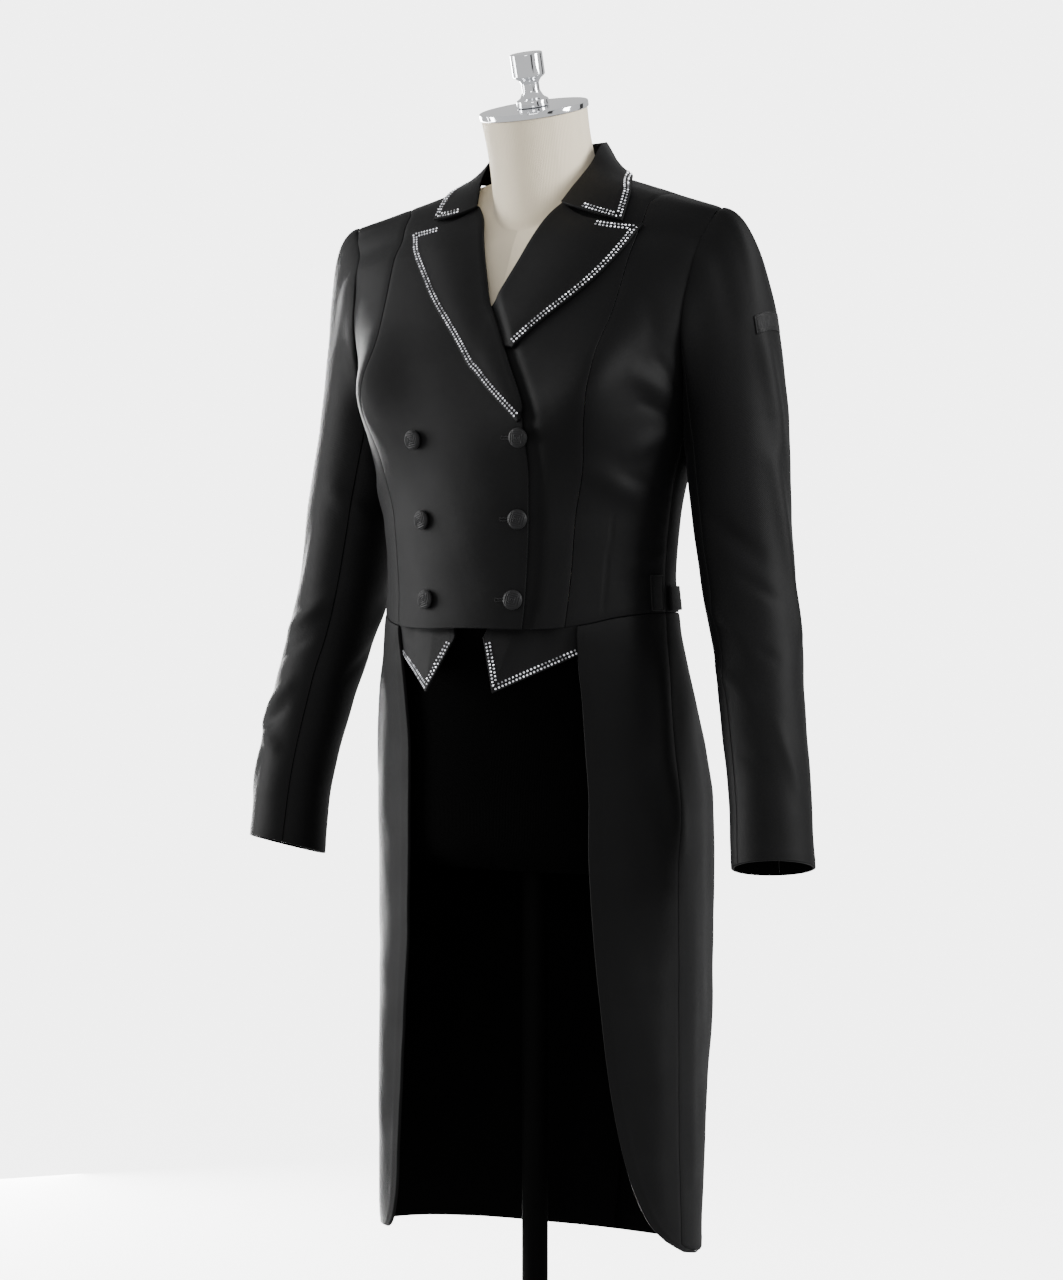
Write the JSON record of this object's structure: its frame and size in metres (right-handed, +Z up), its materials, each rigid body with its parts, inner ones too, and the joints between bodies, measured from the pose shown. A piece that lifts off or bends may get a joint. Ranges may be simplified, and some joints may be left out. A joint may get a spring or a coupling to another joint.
{
  "type": "tailcoat on a dress form",
  "caption": "Double-breasted women's riding tailcoat with peaked lapels, cutaway fronts and long tails, worn by a limbless dress form on a pole and a round base.",
  "frame": {"origin": "centre of the stand's round base, on the floor", "axes": "+Z up along the pole, -Y the way the coat's front faces, +X to the wearer's left"},
  "size_m": [0.5972, 0.33, 1.4905],
  "materials": {
    "black_wool": "matte",
    "black_satin_trim": "satin",
    "black_cord_button": "ribbed",
    "cream_jersey": "matte",
    "black_jersey": "matte",
    "polished_chrome": "polished",
    "matte_black_paint": "matte",
    "brushed_steel": "brushed"
  },
  "bodies": {
    "root": {"right_front": "black_wool", "left_front": "black_wool", "right_side_front": "black_wool", "left_side_front": "black_wool", "right_side_back": "black_wool", "left_side_back": "black_wool", "right_back": "black_wool", "left_back": "black_wool", "right_skirt": "black_wool", "left_skirt": "black_wool", "right_back_skirt": "black_wool", "left_back_skirt": "black_wool", "right_top_sleeve": "black_wool", "right_under_sleeve": "black_wool", "left_top_sleeve": "black_wool", "left_under_sleeve": "black_wool", "collar": "black_wool", "right_lapel": "black_wool", "left_lapel": "black_wool", "right_vest_point": "black_wool", "left_vest_point": "black_wool", "half_belt": "black_wool", "side_label": "black_satin_trim", "left_sleeve_patch": "black_satin_trim", "right_button_1": "black_cord_button", "right_button_2": "black_cord_button", "right_button_3": "black_cord_button", "left_button_1": "black_cord_button", "left_button_2": "black_cord_button", "left_button_3": "black_cord_button", "form_torso": "cream_jersey", "form_hips": "black_jersey", "neck_plate": "polished_chrome", "knob": "polished_chrome", "pole": "matte_black_paint", "base": "brushed_steel"}
  },
  "joints": []
}
